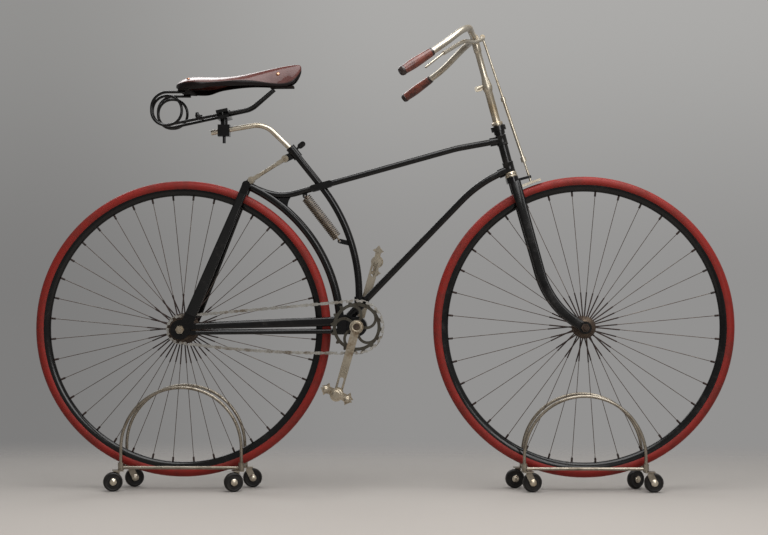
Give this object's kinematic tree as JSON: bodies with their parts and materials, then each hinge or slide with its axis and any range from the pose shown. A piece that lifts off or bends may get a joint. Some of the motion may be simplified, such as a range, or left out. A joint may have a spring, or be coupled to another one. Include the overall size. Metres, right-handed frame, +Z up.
{
  "type": "safety bicycle with sprung frame on wheeled display stands",
  "caption": "Antique safety bicycle with a sprung seat tube, block chain drive and plunger brake, held upright by hooped stands on casters.",
  "frame": {"origin": "on the floor, in the middle plane, midway between the ends of the two tyres", "axes": "+X forward, +Y to the rider's left, +Z up"},
  "size_m": [1.7729, 0.7044, 1.1546],
  "materials": {
    "tyre": "matte red rubber, dusty",
    "enamel": "black stove enamel, worn at the edges",
    "nickel": "warm tarnished nickel plate",
    "steel": "dull bare steel",
    "rust": "rust-brown worn steel",
    "leather": "glossy maroon leather",
    "grip": "varnished red-brown wood",
    "caster": "black rubber"
  },
  "bodies": {
    "frame": {"head_tube": "enamel", "top_tube": "enamel", "down_tube": "enamel", "rear_arch_tube": "enamel", "rear_lug": "enamel", "rear_stays": "enamel", "chain_stays": "enamel", "bottom_bracket": "enamel", "fork_ends": "enamel", "seat_tube": "enamel", "seat_lug": "enamel", "link_rod": "nickel", "frame_spring": "nickel", "seat_post": "nickel", "saddle_clamp": "enamel", "saddle_springs": "enamel", "saddle_plates": "enamel", "saddle_leather": "leather", "chain": "steel", "rear_axle": "rust", "rear_stand": "nickel"},
    "rear_wheel": {"rear_tyre": "tyre", "rear_rim": "enamel", "rear_spokes": "steel", "rear_hub": "rust", "rear_cog": "rust"},
    "steering": {"fork": "enamel", "stem": "nickel", "handlebar": "nickel", "grips": "grip", "brake_lever": "nickel", "brake_rod": "nickel", "front_axle": "rust", "front_stand": "nickel"},
    "front_wheel": {"front_tyre": "tyre", "front_rim": "enamel", "front_spokes": "steel", "front_hub": "rust"},
    "crank": {"crank_axle": "nickel", "chainring": "nickel", "crank_right": "nickel", "crank_left": "nickel"},
    "pedal_right": {"pedal_right": "nickel"},
    "pedal_left": {"pedal_left": "nickel"},
    "rear_caster_rear_right_fork": {"rear_caster_rear_right_fork": "nickel"},
    "rear_caster_rear_right_wheel": {"rear_caster_rear_right_wheel": "caster"},
    "rear_caster_front_right_fork": {"rear_caster_front_right_fork": "nickel"},
    "rear_caster_front_right_wheel": {"rear_caster_front_right_wheel": "caster"},
    "rear_caster_rear_left_fork": {"rear_caster_rear_left_fork": "nickel"},
    "rear_caster_rear_left_wheel": {"rear_caster_rear_left_wheel": "caster"},
    "rear_caster_front_left_fork": {"rear_caster_front_left_fork": "nickel"},
    "rear_caster_front_left_wheel": {"rear_caster_front_left_wheel": "caster"},
    "front_caster_rear_right_fork": {"front_caster_rear_right_fork": "nickel"},
    "front_caster_rear_right_wheel": {"front_caster_rear_right_wheel": "caster"},
    "front_caster_front_right_fork": {"front_caster_front_right_fork": "nickel"},
    "front_caster_front_right_wheel": {"front_caster_front_right_wheel": "caster"},
    "front_caster_rear_left_fork": {"front_caster_rear_left_fork": "nickel"},
    "front_caster_rear_left_wheel": {"front_caster_rear_left_wheel": "caster"},
    "front_caster_front_left_fork": {"front_caster_front_left_fork": "nickel"},
    "front_caster_front_left_wheel": {"front_caster_front_left_wheel": "caster"}
  },
  "joints": [
    {"name": "steering_turn", "type": "hinge", "parent": "frame", "child": "steering", "pos_m": [0.32348, 0, 0.79211], "axis": [-0.2588, 0, 0.9659], "range_deg": [-45, 45]},
    {"name": "rear_wheel_spin", "type": "hinge", "parent": "frame", "child": "rear_wheel", "pos_m": [-0.5105, 0, 0.408], "axis": [0, 1, 0], "continuous": true},
    {"name": "front_wheel_spin", "type": "hinge", "parent": "steering", "child": "front_wheel", "pos_m": [0.5055, 0, 0.413], "axis": [0, 1, 0], "continuous": true},
    {"name": "crank_spin", "type": "hinge", "parent": "frame", "child": "crank", "pos_m": [-0.0675, 0, 0.415], "axis": [0, 1, 0], "continuous": true},
    {"name": "pedal_right_spin", "type": "hinge", "parent": "crank", "child": "pedal_right", "pos_m": [-0.11379, 0, 0.25142], "axis": [0, 1, 0], "continuous": true},
    {"name": "pedal_left_spin", "type": "hinge", "parent": "crank", "child": "pedal_left", "pos_m": [-0.02121, 0, 0.57858], "axis": [0, 1, 0], "continuous": true},
    {"name": "rear_caster_rear_right_swivel", "type": "hinge", "parent": "frame", "child": "rear_caster_rear_right_fork", "pos_m": [-0.6625, -0.046, 0.054], "axis": [0, 0, 1], "continuous": true},
    {"name": "rear_caster_rear_right_roll", "type": "hinge", "parent": "rear_caster_rear_right_fork", "child": "rear_caster_rear_right_wheel", "pos_m": [-0.68182, -0.05118, 0.0245], "axis": [0.2588, -0.9659, 0], "continuous": true},
    {"name": "rear_caster_front_right_swivel", "type": "hinge", "parent": "frame", "child": "rear_caster_front_right_fork", "pos_m": [-0.3585, -0.046, 0.054], "axis": [0, 0, 1], "continuous": true},
    {"name": "rear_caster_front_right_roll", "type": "hinge", "parent": "rear_caster_front_right_fork", "child": "rear_caster_front_right_wheel", "pos_m": [-0.37729, -0.05284, 0.0245], "axis": [0.342, -0.9397, 0], "continuous": true},
    {"name": "rear_caster_rear_left_swivel", "type": "hinge", "parent": "frame", "child": "rear_caster_rear_left_fork", "pos_m": [-0.6625, 0.046, 0.054], "axis": [0, 0, 1], "continuous": true},
    {"name": "rear_caster_rear_left_roll", "type": "hinge", "parent": "rear_caster_rear_left_fork", "child": "rear_caster_rear_left_wheel", "pos_m": [-0.64371, 0.05284, 0.0245], "axis": [-0.342, 0.9397, 0], "continuous": true},
    {"name": "rear_caster_front_left_swivel", "type": "hinge", "parent": "frame", "child": "rear_caster_front_left_fork", "pos_m": [-0.3585, 0.046, 0.054], "axis": [0, 0, 1], "continuous": true},
    {"name": "rear_caster_front_left_roll", "type": "hinge", "parent": "rear_caster_front_left_fork", "child": "rear_caster_front_left_wheel", "pos_m": [-0.3388, 0.04947, 0.0245], "axis": [-0.1736, 0.9848, 0], "continuous": true},
    {"name": "front_caster_rear_right_swivel", "type": "hinge", "parent": "steering", "child": "front_caster_rear_right_fork", "pos_m": [0.3535, -0.046, 0.054], "axis": [0, 0, 1], "continuous": true},
    {"name": "front_caster_rear_right_roll", "type": "hinge", "parent": "front_caster_rear_right_fork", "child": "front_caster_rear_right_wheel", "pos_m": [0.3732, -0.04253, 0.0245], "axis": [-0.1736, 0.9848, 0], "continuous": true},
    {"name": "front_caster_front_right_swivel", "type": "hinge", "parent": "steering", "child": "front_caster_front_right_fork", "pos_m": [0.6575, -0.046, 0.054], "axis": [0, 0, 1], "continuous": true},
    {"name": "front_caster_front_right_roll", "type": "hinge", "parent": "front_caster_front_right_fork", "child": "front_caster_front_right_wheel", "pos_m": [0.67742, -0.04426, 0.0245], "axis": [-0.0872, 0.9962, 0], "continuous": true},
    {"name": "front_caster_rear_left_swivel", "type": "hinge", "parent": "steering", "child": "front_caster_rear_left_fork", "pos_m": [0.3535, 0.046, 0.054], "axis": [0, 0, 1], "continuous": true},
    {"name": "front_caster_rear_left_roll", "type": "hinge", "parent": "front_caster_rear_left_fork", "child": "front_caster_rear_left_wheel", "pos_m": [0.3338, 0.04253, 0.0245], "axis": [0.1736, -0.9848, 0], "continuous": true},
    {"name": "front_caster_front_left_swivel", "type": "hinge", "parent": "steering", "child": "front_caster_front_left_fork", "pos_m": [0.6575, 0.046, 0.054], "axis": [0, 0, 1], "continuous": true},
    {"name": "front_caster_front_left_roll", "type": "hinge", "parent": "front_caster_front_left_fork", "child": "front_caster_front_left_wheel", "pos_m": [0.64112, 0.03453, 0.0245], "axis": [0.5736, -0.8192, 0], "continuous": true}
  ],
  "couplings": [
    {"joint": "crank_spin", "follows": "rear_wheel_spin", "ratio": 0.5}
  ]
}
